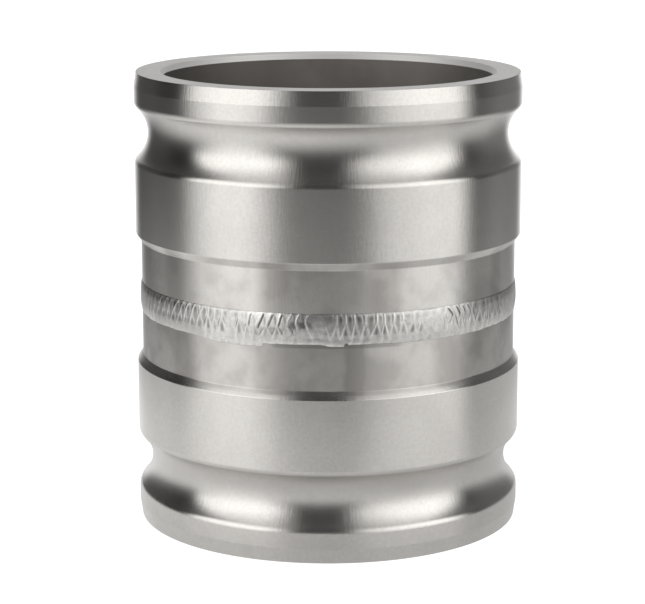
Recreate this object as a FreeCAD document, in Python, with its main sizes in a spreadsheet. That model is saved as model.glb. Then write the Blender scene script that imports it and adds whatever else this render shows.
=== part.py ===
import FreeCAD, Part
import math
import os
import Sketcher

# Cam and groove spool adapter: two turned male ends, welded butt to butt.
# The frame stands at the centre of the lower sealing face, with +Z along the bore.

# Driving dimensions, in millimetres and degrees.
# Across, all is stepped in from the land, which is the outside of the lip and of the body.
# Along the axis, each half is measured from its own sealing face towards the weld.
SIZES = {
    "land_diameter": 91.4,
    "nose_step": 0.5,
    "nose_length": 3.4,
    "lip_edge_radius": 1.9,
    "groove_distance": 14.2,
    "groove_radius": 8.3,
    "groove_depth": 3.15,
    "body_edge_radius": 1.8,
    "body_end": 37.95,
    "body_corner_radius": 0.4,
    "shoulder_step": 1.25,
    "shoulder_length": 1.7,
    "shoulder_root_radius": 0.5,
    "tube_wall": 5.45,
    "mouth_width": 0.65,
    "mouth_depth": 1.4,
    "upper_length": 52.9,
    "lower_length": 53.8,
    "root_gap": 1.3,
    "root_face": 1.5,
    "bevel_angle": 35.0,
    "cap_height": 0.5,
    "ripple_pitch": 2.2,
    "ripple_lead": 0.8,
    "ripple_depth": 0.15,
    "ripple_bow": 1.25,
    "toe_clearance": 0.01,
}

# Radii of the outside land, the tube and the bore, and of the outer edge of the root face.
LAND = "(Sizes.land_diameter / 2)"
TUBE = "(" + LAND + " - Sizes.shoulder_step)"
BORE = "(" + TUBE + " - Sizes.tube_wall)"
ROOT = "(" + BORE + " + Sizes.root_face)"

# Half the width of the weld at the outside of the tube: half the root gap and the run of one bevel.
HALF_WELD = "(Sizes.root_gap / 2 + tan(Sizes.bevel_angle) * (" + TUBE + " - " + ROOT + "))"

doc = FreeCAD.newDocument("SpoolAdapter")
sheet = doc.addObject("Spreadsheet::Sheet", "Sizes")
for row, (name, value) in enumerate(SIZES.items(), start=1):
    sheet.set("A%d" % row, name)
    sheet.set("B%d" % row, str(value))
    sheet.setAlias("B%d" % row, name)
doc.recompute()


def size(name):
    """The value of one driving dimension, as the sheet holds it."""
    return float(sheet.get(name))


def radii():
    """The radii of the land, the tube, the bore and the outer edge of the root face."""
    land = size("land_diameter") / 2
    tube = land - size("shoulder_step")
    bore = tube - size("tube_wall")
    return land, tube, bore, bore + size("root_face")


def half_weld_width():
    """Half the width of the weld at the outside of the tube."""
    land, tube, bore, root = radii()
    return size("root_gap") / 2 + math.tan(math.radians(size("bevel_angle"))) * (tube - root)


def new_body(name):
    """A named body for one physical piece."""
    body = doc.addObject("PartDesign::Body", name)
    body.Label = name
    return body


def new_sketch(body, name, role):
    """A sketch on one of the body's own origin planes."""
    plane = next(item for item in body.Origin.OriginFeatures if item.Role == role)
    sketch = body.newObject("Sketcher::SketchObject", name)
    sketch.AttachmentSupport = [(plane, "")]
    sketch.MapMode = "FlatFace"
    return sketch


def bind(sketch, name, constraint, expression):
    """Add a dimension to a sketch and tie it to the sheet."""
    index = sketch.addConstraint(constraint)
    sketch.renameConstraint(index, name)
    sketch.setExpression("Constraints." + name, expression)


def line(start, end):
    """A straight edge between two points of a sketch."""
    return Part.LineSegment(FreeCAD.Vector(*start, 0), FreeCAD.Vector(*end, 0))


def arc(centre, radius, first_angle, last_angle):
    """A round edge of a sketch, counter-clockwise, with its angles in degrees."""
    circle = Part.Circle(FreeCAD.Vector(*centre, 0), FreeCAD.Vector(0, 0, 1), radius)
    return Part.ArcOfCircle(circle, math.radians(first_angle), math.radians(last_angle))


def join(sketch, pairs):
    """Make the listed end points meet."""
    for first, first_end, second, second_end in pairs:
        sketch.addConstraint(Sketcher.Constraint("Coincident", first, first_end, second, second_end))


START = 1
END = 2
CENTRE = 3
ORIGIN = -1

# Edges of neighbouring faces of the weld count as one edge when they lie this close.
SEAM = 0.0001


def adapter_section(body, length_name):
    """The turned section of one male end, from its sealing face up to its bevelled weld face.

    It also gives half the width of the cam groove where the groove breaks through the land.
    """
    land, tube, bore, root = radii()
    groove_radius = size("groove_radius")
    groove_at = size("groove_distance")
    groove_centre = land - size("groove_depth") + groove_radius
    half_groove = math.sqrt(groove_radius ** 2 - (groove_centre - land) ** 2)
    half_angle = math.degrees(math.asin(half_groove / groove_radius))
    top = size(length_name) - size("root_gap") / 2
    corners = [
        (bore, size("mouth_depth")),
        (bore + size("mouth_width"), 0),
        (land - size("nose_step"), 0),
        (land, size("nose_length")),
        (land, groove_at - half_groove),
        (land, groove_at + half_groove),
        (land, size("body_end")),
        (tube, size("body_end") + size("shoulder_length")),
        (tube, size(length_name) - half_weld_width()),
        (root, top),
        (bore, top),
    ]
    sketch = new_sketch(body, body.Name + "_section", "XZ_Plane")
    mouth = sketch.addGeometry(line(corners[0], corners[1]))
    face = sketch.addGeometry(line(corners[1], corners[2]))
    nose = sketch.addGeometry(line(corners[2], corners[3]))
    lip = sketch.addGeometry(line(corners[3], corners[4]))
    groove_arc = arc((groove_centre, groove_at), groove_radius, 180 - half_angle, 180 + half_angle)
    groove = sketch.addGeometry(groove_arc)
    land_line = sketch.addGeometry(line(corners[5], corners[6]))
    shoulder = sketch.addGeometry(line(corners[6], corners[7]))
    tube_line = sketch.addGeometry(line(corners[7], corners[8]))
    weld_bevel = sketch.addGeometry(line(corners[8], corners[9]))
    root_face = sketch.addGeometry(line(corners[9], corners[10]))
    bore_line = sketch.addGeometry(line(corners[10], corners[0]))
    join(sketch, [
        (mouth, END, face, START),
        (face, END, nose, START),
        (nose, END, lip, START),
        (lip, END, groove, END),
        (groove, START, land_line, START),
        (land_line, END, shoulder, START),
        (shoulder, END, tube_line, START),
        (tube_line, END, weld_bevel, START),
        (weld_bevel, END, root_face, START),
        (root_face, END, bore_line, START),
        (bore_line, END, mouth, START),
    ])
    for upright in (lip, land_line, tube_line, bore_line):
        sketch.addConstraint(Sketcher.Constraint("Vertical", upright))
    for level in (face, root_face):
        sketch.addConstraint(Sketcher.Constraint("Horizontal", level))
    sketch.addConstraint(Sketcher.Constraint("PointOnObject", face, START, ORIGIN))
    across = "DistanceX"
    along = "DistanceY"
    dimensions = [
        ("bore", across, bore_line, START, BORE),
        ("mouth", across, mouth, END, BORE + " + Sizes.mouth_width"),
        ("mouth_depth", along, mouth, START, "Sizes.mouth_depth"),
        ("face", across, face, END, LAND + " - Sizes.nose_step"),
        ("lip", across, lip, START, LAND),
        ("nose", along, lip, START, "Sizes.nose_length"),
        ("groove_at", along, groove, CENTRE, "Sizes.groove_distance"),
        ("groove_centre", across, groove, CENTRE, LAND + " - Sizes.groove_depth + Sizes.groove_radius"),
        ("land", across, land_line, START, LAND),
        ("body_end", along, land_line, END, "Sizes.body_end"),
        ("tube", across, tube_line, START, TUBE),
        ("shoulder", along, tube_line, START, "Sizes.body_end + Sizes.shoulder_length"),
        ("root", across, root_face, START, ROOT),
        ("top", along, root_face, START, "Sizes." + length_name + " - Sizes.root_gap / 2"),
        ("toe", along, weld_bevel, START, "Sizes." + length_name + " - " + HALF_WELD),
    ]
    for name, kind, edge, end, expression in dimensions:
        value = sketch.getPoint(edge, end)
        start = value.x if kind == across else value.y
        bind(sketch, name, Sketcher.Constraint(kind, ORIGIN, START, edge, end, start), expression)
    round_groove = Sketcher.Constraint("Radius", groove, groove_radius)
    bind(sketch, "groove_radius", round_groove, "Sizes.groove_radius")
    return sketch, half_groove


def turn(body, sketch):
    """Turn a section once round the body's Z axis."""
    solid = body.newObject("PartDesign::Revolution", body.Name + "_turned")
    solid.Profile = (sketch, [""])
    solid.ReferenceAxis = (sketch, ["V_Axis"])
    solid.Angle = 360
    sketch.Visibility = False
    doc.recompute()
    return solid


def round_corner(body, base, name, radius, height, expression):
    """Round the corner that runs once round the body at one radius and height."""
    near = 0.001
    edges = []
    for index, edge in enumerate(base.Shape.Edges, start=1):
        if not isinstance(edge.Curve, Part.Circle):
            continue
        at_radius = abs(edge.Curve.Radius - radius) < near
        at_height = abs(edge.Curve.Center.z - height) < near
        if at_radius and at_height:
            edges.append("Edge%d" % index)
    corner = body.newObject("PartDesign::Fillet", body.Name + "_" + name)
    corner.Base = (base, edges)
    corner.setExpression("Radius", expression)
    doc.recompute()
    return corner


def adapter(name, length_name):
    """One male end, turned from the solid, with its sealing face on the XY plane."""
    body = new_body(name)
    sketch, half_groove = adapter_section(body, length_name)
    solid = turn(body, sketch)
    land, tube, bore, root = radii()
    shoulder_end = size("body_end") + size("shoulder_length")
    corners = [
        ("lip_edge", land, size("groove_distance") - half_groove, "lip_edge_radius"),
        ("body_edge", land, size("groove_distance") + half_groove, "body_edge_radius"),
        ("body_corner", land, size("body_end"), "body_corner_radius"),
        ("shoulder_root", tube, shoulder_end, "shoulder_root_radius"),
    ]
    for corner_name, radius, height, size_name in corners:
        solid = round_corner(body, solid, corner_name, radius, height, "Sizes." + size_name)
    body.Tip = solid
    return body


def around(radius, angle, height):
    """A point at a radius and a height, turned about the Z axis by an angle in degrees."""
    turned = math.radians(angle)
    return FreeCAD.Vector(radius * math.cos(turned), radius * math.sin(turned), height)


def weld_bead(name):
    """The weld: a V between the bevels, closed by a crowned cap of overlapping crescent ripples.

    Its own origin is at the middle of the root gap. Each ripple climbs slowly from a valley to its crest
    and falls quickly to the next valley, and its two toes trail behind the middle of the bead. The toes
    run straight from valley to crest, so they stay a hair inside the edge of the bevel.
    """
    land, tube, bore, root = radii()
    half_gap = size("root_gap") / 2
    half_weld = half_weld_width() - size("toe_clearance")
    crest = tube + size("cap_height")
    valley = crest - size("ripple_depth")
    count = round(2 * math.pi * tube / size("ripple_pitch"))
    pitch = 360 / count
    climb = pitch * (1 - size("ripple_lead") / size("ripple_pitch"))
    trail = math.degrees(size("ripple_bow") / tube)
    centre = FreeCAD.Vector(0, 0, 0)
    axis = FreeCAD.Vector(0, 0, 1)

    def crescent(angle, middle_radius):
        """One arc over the cap, from its lower toe over the middle to its upper toe."""
        low = around(tube, angle - trail, -half_weld)
        middle = around(middle_radius, angle, 0)
        high = around(tube, angle - trail, half_weld)
        return Part.Arc(low, middle, high).toShape()

    def root_arc(first, last, height):
        """The stretch of a bevel's root circle that lies under one flank of a ripple."""
        ends = [around(root, angle - trail, height) for angle in (first, (first + last) / 2, last)]
        return Part.Arc(*ends).toShape()

    def flank(first, last, first_radius, last_radius):
        """One side of a ripple, with the strip of each bevel below its toes."""
        top = Part.makeRuledSurface(crescent(first, first_radius), crescent(last, last_radius))
        strips = []
        for side in (-1, 1):
            toe_start = around(tube, first - trail, side * half_weld)
            toe_end = around(tube, last - trail, side * half_weld)
            toe = Part.makeLine(toe_start, toe_end)
            strips.append(Part.makeRuledSurface(toe, root_arc(first, last, side * half_gap)))
        return [top] + strips

    ripple = flank(0, climb, valley, crest) + flank(climb, pitch, crest, valley)
    faces = []
    for index in range(count):
        for face in ripple:
            copy = face.copy()
            copy.rotate(centre, axis, index * pitch)
            faces.append(copy)
    for side in (-1, 1):
        height = side * half_gap
        arcs = []
        for index in range(count):
            start = index * pitch
            arcs.append(root_arc(start, start + climb, height))
            arcs.append(root_arc(start + climb, start + pitch, height))
        opening = Part.Wire(Part.makeCircle(bore, FreeCAD.Vector(0, 0, height)))
        faces.append(Part.makeFace([Part.Wire(arcs), opening], "Part::FaceMakerBullseye"))
    wall = Part.makeCylinder(bore, 2 * half_gap, FreeCAD.Vector(0, 0, -half_gap))
    faces.append(next(face for face in wall.Faces if isinstance(face.Surface, Part.Cylinder)))

    skin = Part.Compound(faces)
    skin.sewShape(SEAM)
    solid = Part.makeSolid(skin.Shells[0])
    if solid.Volume < 0:
        solid.reverse()
    bead = doc.addObject("Part::Feature", name)
    bead.Label = name
    bead.Shape = solid
    return bead


lower = adapter("lower_adapter", "lower_length")
upper = adapter("upper_adapter", "upper_length")
bead = weld_bead("weld_bead")

# The upper half is turned over and stands on the lower one; the weld lies between them.
turned_over = FreeCAD.Rotation(FreeCAD.Vector(1, 0, 0), 180)
upper.Placement = FreeCAD.Placement(FreeCAD.Vector(0, 0, 0), turned_over)
upper.setExpression("Placement.Base.z", "Sizes.lower_length + Sizes.upper_length")
bead.setExpression("Placement.Base.z", "Sizes.lower_length")
doc.recompute()

pieces = [lower, upper, bead]
for item in doc.Objects:
    if "Invalid" in item.State or "Error" in item.State:
        raise RuntimeError(item.Name + " did not rebuild: " + ", ".join(item.State))
for piece in pieces:
    shape = piece.Shape
    if shape.isNull() or not shape.isValid() or len(shape.Solids) != 1:
        raise RuntimeError(piece.Label + " is not one sound solid")

os.makedirs("parts", exist_ok=True)
for piece in pieces:
    piece.Shape.exportStep(os.path.join("parts", piece.Label + ".step"))
    box = piece.Shape.BoundBox
    print("%s: %.1f mm3, z %.2f to %.2f, across %.2f" % (
        piece.Label, piece.Shape.Volume, box.ZMin, box.ZMax, box.XLength))
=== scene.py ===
"""Looks of the cam and groove spool adapter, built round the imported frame, in metres.

Two turned male ends meet at a hand-run weld. Each piece is a surface worked out with numpy that stands where
its CAD node stands, and the part stands on a pale floor in a soft studio.
"""
import logging
import math
from collections.abc import Mapping, Sequence
from dataclasses import dataclass, field
from enum import Enum

import bpy
import numpy as np
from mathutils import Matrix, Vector


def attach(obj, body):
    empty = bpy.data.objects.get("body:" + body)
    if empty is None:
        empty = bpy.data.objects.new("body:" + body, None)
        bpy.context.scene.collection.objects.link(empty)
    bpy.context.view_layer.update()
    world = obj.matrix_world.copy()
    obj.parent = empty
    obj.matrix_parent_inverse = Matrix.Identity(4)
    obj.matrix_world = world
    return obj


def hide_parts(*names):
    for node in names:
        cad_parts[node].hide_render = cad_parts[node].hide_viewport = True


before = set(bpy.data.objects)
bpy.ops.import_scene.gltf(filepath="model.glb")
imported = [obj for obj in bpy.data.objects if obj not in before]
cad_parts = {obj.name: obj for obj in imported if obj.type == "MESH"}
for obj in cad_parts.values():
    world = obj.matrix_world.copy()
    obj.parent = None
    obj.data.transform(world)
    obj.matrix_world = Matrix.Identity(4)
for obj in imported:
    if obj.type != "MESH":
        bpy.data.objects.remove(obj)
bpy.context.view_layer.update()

MM = 0.001
TURN = 2 * math.pi
HEIGHT = 106.7 * MM
ARC_STEP = math.radians(5)
GROOVE_STEP = math.radians(3)
CORNER_STEP = math.radians(15)
log = logging.getLogger("spool_adapter")

# An edge says where a smooth step is 0 and where it is 1, a tone adds the strength beyond it, and a colour
# is linear and opaque.
Edge = tuple[float, float]
Tone = tuple[float, float, float]
Colour = tuple[float, float, float, float]


class Slot(Enum):
    """The record's material slots."""

    TURNED_STEEL = "turned_steel"
    WELD_METAL = "weld_metal"


class WayUp(Enum):
    """Where the sealing face of a male end points."""

    FACE_DOWN = "face down"
    FACE_UP = "face up"


@dataclass(frozen=True)
class Joint:
    """Sizes that both ends and the weld share.

    Attributes:
        height: Height of the middle of the weld on the part.
        tube_radius: Outside of the pipe.
        bore_radius: Inside of the pipe.
        root_radius: Radius where a weld bevel ends at its flat root.
        half_gap: Half the gap between the two roots.
        half_weld: Half the width of the V at the outside of the pipe.
    """

    height: float = 53.8 * MM
    tube_radius: float = 44.45 * MM
    bore_radius: float = 39.0 * MM
    root_radius: float = 42.55 * MM
    half_gap: float = 0.65 * MM
    half_weld: float = 3.416 * MM


JOINT = Joint()


# Outlines and surfaces.


def arc(centre: Sequence[float], radius: float, first: float, last: float, hollow: bool = False,
        step: float = ARC_STEP) -> np.ndarray:
    """Round stretch of an outline.

    A point is the centre plus the radius times the cosine and sine of an angle that runs evenly from first
    to last. The outward normal is that direction, or its opposite where the metal lies outside the arc.

    Args:
        centre: Radius and height of the arc's centre.
        radius: Radius of the arc.
        first: Angle of its first point, in radians from the radial direction.
        last: Angle of its last point.
        hollow: Whether the metal lies outside the arc.
        step: Largest angle between two points.

    Returns:
        One row per point: radius, height and the two parts of the outward normal.
    """
    count = max(3, math.ceil(abs(last - first) / step) + 1)
    angle = np.linspace(first, last, count)
    direction = np.stack([np.cos(angle), np.sin(angle)], axis=1)
    return np.hstack([np.asarray(centre) + radius * direction, -direction if hollow else direction])


def corner(before: Sequence[float], at: Sequence[float], after: Sequence[float],
           radius: float) -> np.ndarray:
    """Rounded corner of an outline that has the metal on its left.

    The arc leaves the first side at the radius times the tangent of half the turn before the corner, and its
    centre lies on the inner side of the turn.

    Args:
        before: Radius and height of a point before the corner.
        at: The corner itself.
        after: A point after the corner.
        radius: Radius of the rounding.

    Returns:
        Rows as arc gives them.
    """
    start, tip, end = (np.asarray(point, float) for point in (before, at, after))
    inward = (tip - start) / np.linalg.norm(tip - start)
    onward = (end - tip) / np.linalg.norm(end - tip)
    turn = math.atan2(inward[0] * onward[1] - inward[1] * onward[0], float(inward @ onward))
    side = math.copysign(1.0, turn)
    left = np.array([-inward[1], inward[0]])
    centre = tip - inward * radius * math.tan(abs(turn) / 2) + side * radius * left
    first = math.atan2(-side * left[1], -side * left[0])
    return arc(centre, radius, first, first + turn, hollow=turn < 0, step=CORNER_STEP)


@dataclass
class Grid:
    """Closed surface on a grid that joins up in both directions.

    Attributes:
        points: Places, as rows by columns by three.
        values: Numbers per point, by name, that a material may read.
        normals: Unit normals of the same shape as the points, or None to let Blender work them out.
        chart: Two numbers per point for a UV map named weave, or None.
        chart_turn: What both numbers grow by over a full turn.
        finish: Number of the material on the faces between each row and the next, or None for one alone.
    """

    points: np.ndarray
    values: dict[str, np.ndarray] = field(default_factory=dict)
    normals: np.ndarray | None = None
    chart: np.ndarray | None = None
    chart_turn: float = 0.0
    finish: np.ndarray | None = None

    def quads(self) -> np.ndarray:
        """Faces between each row and column and the next, with the last ones joined to the first.

        Returns:
            Four corner numbers per face, counter-clockwise from outside.
        """
        rows, columns = self.points.shape[:2]
        number = np.arange(rows * columns).reshape(rows, columns)
        above = np.roll(number, -1, axis=0)
        beside = np.roll(number, -1, axis=1)
        across = np.roll(above, -1, axis=1)
        return np.stack([number, beside, across, above], axis=-1).reshape(-1, 4)

    def to_object(self, name: str) -> bpy.types.Object:
        """Put the surface into a mesh object at the origin.

        Args:
            name: Name of the object and its mesh.

        Returns:
            The new object, linked to the scene.
        """
        points = self.points.reshape(-1, 3)
        quads = self.quads()
        mesh = bpy.data.meshes.new(name)
        mesh.vertices.add(len(points))
        mesh.vertices.foreach_set("co", points.astype(np.float32).ravel())
        mesh.loops.add(quads.size)
        mesh.loops.foreach_set("vertex_index", quads.astype(np.int32).ravel())
        mesh.polygons.add(len(quads))
        mesh.polygons.foreach_set("loop_start", np.arange(0, quads.size, 4, dtype=np.int32))
        mesh.polygons.foreach_set("use_smooth", np.ones(len(quads), bool))
        if self.finish is not None:
            number = np.repeat(self.finish.astype(np.int32), self.points.shape[1])
            mesh.polygons.foreach_set("material_index", number)
        mesh.update(calc_edges=True)
        mesh.validate()
        for value_name, value in self.values.items():
            layer = mesh.attributes.new(value_name, "FLOAT", "POINT")
            layer.data.foreach_set("value", value.astype(np.float32).ravel())
        if self.chart is not None:
            corners = self.chart.reshape(-1, 2)[quads]
            last = np.arange(len(quads)) % self.points.shape[1] == self.points.shape[1] - 1
            corners[last, 1:3] += self.chart_turn
            mesh.uv_layers.new(name="weave").data.foreach_set("uv", corners.astype(np.float32).ravel())
        if self.normals is not None:
            mesh.normals_split_custom_set_from_vertices(self.normals.reshape(-1, 3).tolist())
        piece = bpy.data.objects.new(name, mesh)
        bpy.context.scene.collection.objects.link(piece)
        return piece


def revolve(outline: np.ndarray, columns: int) -> Grid:
    """Turn a closed outline about the Z axis.

    A point at a radius and a height goes to x = radius cos(turn), y = radius sin(turn), z = height, for
    turns evenly spaced round the axis, and its normal turns with it.

    Args:
        outline: Rows of radius, height and outward normal, with the metal on the left.
        columns: Number of points round the axis.

    Returns:
        The surface with its exact normals.
    """
    turn = np.arange(columns) * TURN / columns
    cosine, sine = np.cos(turn), np.sin(turn)
    radius, height, normal_out, normal_up = (column[:, None] for column in outline.T)
    level = np.ones_like(cosine)
    points = np.stack([radius * cosine, radius * sine, height * level], axis=-1)
    normals = np.stack([normal_out * cosine, normal_out * sine, normal_up * level], axis=-1)
    return Grid(points, normals=normals)


def smooth(value: np.ndarray, low: float, high: float) -> np.ndarray:
    """Smooth step: 0 at low, 1 at high, three squares of the share less two cubes; low may lie above."""
    share = np.clip((value - low) / (high - low), 0, 1)
    return share * share * (3 - 2 * share)


def tone(value: np.ndarray, low: float, high: float, strength: float) -> np.ndarray:
    """Smooth step times a strength."""
    return smooth(value, low, high) * strength


@dataclass(frozen=True)
class Waver:
    """Smooth random number that joins up after a full turn.

    It is a sum of sines of whole frequencies round the axis, each with a seeded phase.

    Attributes:
        size: How far it strays from 0, about.
        waves: Number of sines.
        slowest: Lowest number of waves round the axis.
        fastest: Highest number of waves.
        seed: Seed of the frequencies and phases.
    """

    size: float
    waves: int
    slowest: int
    fastest: int
    seed: int

    def at(self, turn: np.ndarray) -> np.ndarray:
        """Number at each angle about the axis.

        Args:
            turn: The angles.

        Returns:
            The sum of the sines over the root of twice their count, times the size.
        """
        source = np.random.default_rng(self.seed)
        frequency = source.integers(self.slowest, self.fastest + 1, self.waves)
        phase = source.uniform(0, TURN, self.waves)
        total = np.sin(turn[..., None] * frequency + phase).sum(axis=-1)
        return self.size * (total / math.sqrt(2 * self.waves))


@dataclass(frozen=True)
class Stretch:
    """A stretch of the part's side, told by its bearing.

    Attributes:
        bearing: Its middle, in degrees from the front towards +X.
        reach: Half its width, in degrees.
        drop: Width of the step at its end, in degrees.
    """

    bearing: float
    reach: float
    drop: float = 0.3

    def off(self, turn: np.ndarray) -> np.ndarray:
        """Distance of each angle from the middle the short way round, in degrees, growing towards +X."""
        return np.degrees(np.angle(np.exp(1j * (turn - math.radians(self.bearing - 90)))))

    def inside(self, turn: np.ndarray) -> np.ndarray:
        """How far an angle lies inside: e to the minus fourth power of the distance over the reach."""
        return np.exp(-(self.off(turn) / self.reach) ** 4)

    def droop(self, turn: np.ndarray) -> np.ndarray:
        """Smooth growth from 0 at the start to 1 at the middle, which lasts up to the step at the end."""
        off = self.off(turn)
        return smooth(off, -self.reach, 0) * smooth(off, self.reach, self.reach - self.drop)

    def notch(self, turn: np.ndarray) -> np.ndarray:
        """How far an angle lies inside a notch just past the end, twice as long to each side as the step."""
        return Stretch(self.bearing + self.reach + self.drop, 2 * self.drop).inside(turn)


@dataclass(frozen=True)
class Habit:
    """One way in which the welder's hand moved.

    Attributes:
        places: The stretches where it moved so.
        spread: How far the upper arms of the ridges lean apart there, in ripples.
        bow: How much the arms are bowed there, as what the power of their lean grows by.
    """

    places: tuple[Stretch, ...]
    spread: float = 0.0
    bow: float = 0.0

    def at(self, turn: np.ndarray) -> np.ndarray:
        """How far an angle lies inside any of the stretches, between 0 and 1."""
        return np.clip(sum(place.inside(turn) for place in self.places), 0, 1)


# Shader maths.


@dataclass(frozen=True)
class Term:
    """Number that varies over a surface: an output socket that takes part in arithmetic."""

    nodes: "Nodes"
    socket: bpy.types.NodeSocket

    def __add__(self, other: "Term | float") -> "Term":
        """Sum."""
        return self.nodes.math("ADD", self, other)

    def __sub__(self, other: "Term | float") -> "Term":
        """Difference."""
        return self.nodes.math("SUBTRACT", self, other)

    def __mul__(self, other: "Term | float") -> "Term":
        """Product."""
        return self.nodes.math("MULTIPLY", self, other)

    def __truediv__(self, other: "Term | float") -> "Term":
        """Quotient."""
        return self.nodes.math("DIVIDE", self, other)

    def __radd__(self, other: float) -> "Term":
        """Sum with a number on the left."""
        return self.nodes.math("ADD", other, self)

    def __rsub__(self, other: float) -> "Term":
        """Difference from a number on the left."""
        return self.nodes.math("SUBTRACT", other, self)

    def __rmul__(self, other: float) -> "Term":
        """Product with a number on the left."""
        return self.nodes.math("MULTIPLY", other, self)


class Nodes:
    """A node tree, written through a few short methods."""

    def __init__(self, tree: bpy.types.NodeTree) -> None:
        """Start from an empty tree."""
        self.tree = tree
        self.tree.nodes.clear()

    def add(self, kind: str, settings: Mapping[str, object] | None = None,
            inputs: Mapping[str | int, object] | None = None) -> bpy.types.Node:
        """Add any node.

        Args:
            kind: Blender's name of the node type.
            settings: Properties of the node, which are set first.
            inputs: Values or links of its sockets, by name or number.

        Returns:
            The node.
        """
        node = self.tree.nodes.new(kind)
        for name, value in (settings or {}).items():
            setattr(node, name, value)
        for key, value in (inputs or {}).items():
            if isinstance(value, Term):
                self.tree.links.new(value.socket, node.inputs[key])
            else:
                node.inputs[key].default_value = value
        return node

    def term(self, node: bpy.types.Node, output: str | int = 0) -> Term:
        """One output of a node."""
        return Term(self, node.outputs[output])

    def place(self, output: str = "Object") -> Term:
        """Place on the piece in its own coordinates, or another output of that node."""
        return self.term(self.add("ShaderNodeTexCoord"), output)

    def value(self, name: str) -> Term:
        """Number that the mesh holds per point."""
        return self.term(self.add("ShaderNodeAttribute", {"attribute_name": name}), "Fac")

    def math(self, operation: str, *values: Term | float) -> Term:
        """Math node on one, two or three numbers."""
        return self.term(self.add("ShaderNodeMath", {"operation": operation}, dict(enumerate(values))))

    def step(self, value: Term, low: float, high: float) -> Term:
        """Smooth step with level ends.

        Args:
            value: The number that it follows.
            low: Where the step is 0; it may lie above high.
            high: Where the step is 1.

        Returns:
            The step.
        """
        settings = {"interpolation_type": "SMOOTHSTEP", "clamp": True}
        first, last = (0.0, 1.0) if low <= high else (1.0, 0.0)
        inputs = {0: value, 1: min(low, high), 2: max(low, high), 3: first, 4: last}
        return self.term(self.add("ShaderNodeMapRange", settings, inputs))

    def tone(self, value: Term, low: float, high: float, strength: float) -> Term:
        """Smooth step times a strength."""
        return self.step(value, low, high) * strength

    def parts(self, vector: Term) -> tuple[Term, Term, Term]:
        """The three parts of a vector."""
        node = self.add("ShaderNodeSeparateXYZ", inputs={0: vector})
        return self.term(node, 0), self.term(node, 1), self.term(node, 2)

    def vector(self, x: Term | float, y: Term | float, z: Term | float) -> Term:
        """Vector of three numbers."""
        return self.term(self.add("ShaderNodeCombineXYZ", inputs={0: x, 1: y, 2: z}))

    def radius(self, x: Term, y: Term) -> Term:
        """Distance from the Z axis: the root of the sum of two squares."""
        return self.math("SQRT", x * x + y * y)

    def bearing(self, x: Term, y: Term) -> Term:
        """Angle about the Z axis, in degrees from the front towards +X."""
        return self.math("ARCTAN2", x, 0 - y) * math.degrees(1)

    def noise(self, vector: Term, scale: float, detail: float = 2.0, roughness: float = 0.5) -> Term:
        """Noise between 0 and 1."""
        values = {"Vector": vector, "Scale": scale, "Detail": detail, "Roughness": roughness}
        return self.term(self.add("ShaderNodeTexNoise", {"noise_dimensions": "3D"}, values))

    def lathe_lines(self, place: Sequence[Term], pitch: float, drift: float) -> Term:
        """Noise in fine lines round the Z axis, from radius and height over the pitch.

        Args:
            place: The three parts of the place.
            pitch: Spacing of the lines.
            drift: How fast a line changes on its way round, per metre.

        Returns:
            The noise.
        """
        x, y, z = place
        lines = self.vector(self.radius(x, y) / pitch, z / pitch, (x + y * 0.6) * drift)
        return self.noise(lines, 1.0, 2.0, 0.6)

    def blend(self, factor: Term, low: object, high: object) -> Term:
        """Colour that goes from low to high with the factor; each is a colour or a link."""
        node = self.add("ShaderNodeMix", {"data_type": "RGBA"}, {0: factor, 6: low, 7: high})
        return self.term(node, 2)

    def metal(self, inputs: Mapping[str, object], bump: tuple[float, float], height: Term) -> None:
        """Bumpy metal as the tree's surface.

        Args:
            inputs: Values or links of the shader's sockets, by name.
            bump: Strength of the bump, and what a height of 1 in it stands for.
            height: Height of the bump.
        """
        strength, distance = bump
        relief = {"Strength": strength, "Distance": distance, "Height": height}
        normal = self.term(self.add("ShaderNodeBump", inputs=relief))
        sockets = {"Metallic": 1.0, "Normal": normal} | dict(inputs)
        shader = self.add("ShaderNodeBsdfPrincipled", inputs=sockets)
        self.add("ShaderNodeOutputMaterial", inputs={0: self.term(shader)})

    def weighted(self, terms: Sequence[Term], weights: Sequence[float]) -> Term:
        """Sum of each term times its weight."""
        return sum(term * weight for term, weight in zip(terms, weights))

    def glow(self, kind: str, strength: Term | float) -> Term:
        """White light.

        Args:
            kind: Node type, that of a surface or of the world.
            strength: Strength of the light.

        Returns:
            The shader.
        """
        return self.term(self.add(kind, inputs={"Color": rgb(1, 1, 1), "Strength": strength}))


def rgb(red: float, green: float, blue: float) -> Colour:
    """Opaque colour of three linear parts."""
    return red, green, blue, 1.0


def new_material(name: str) -> tuple[bpy.types.Material, Nodes]:
    """Start a material.

    Args:
        name: Its name.

    Returns:
        The material and its empty tree.
    """
    material = bpy.data.materials.new(name)
    material.use_nodes = True
    return material, Nodes(material.node_tree)


# Finishes.


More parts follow.
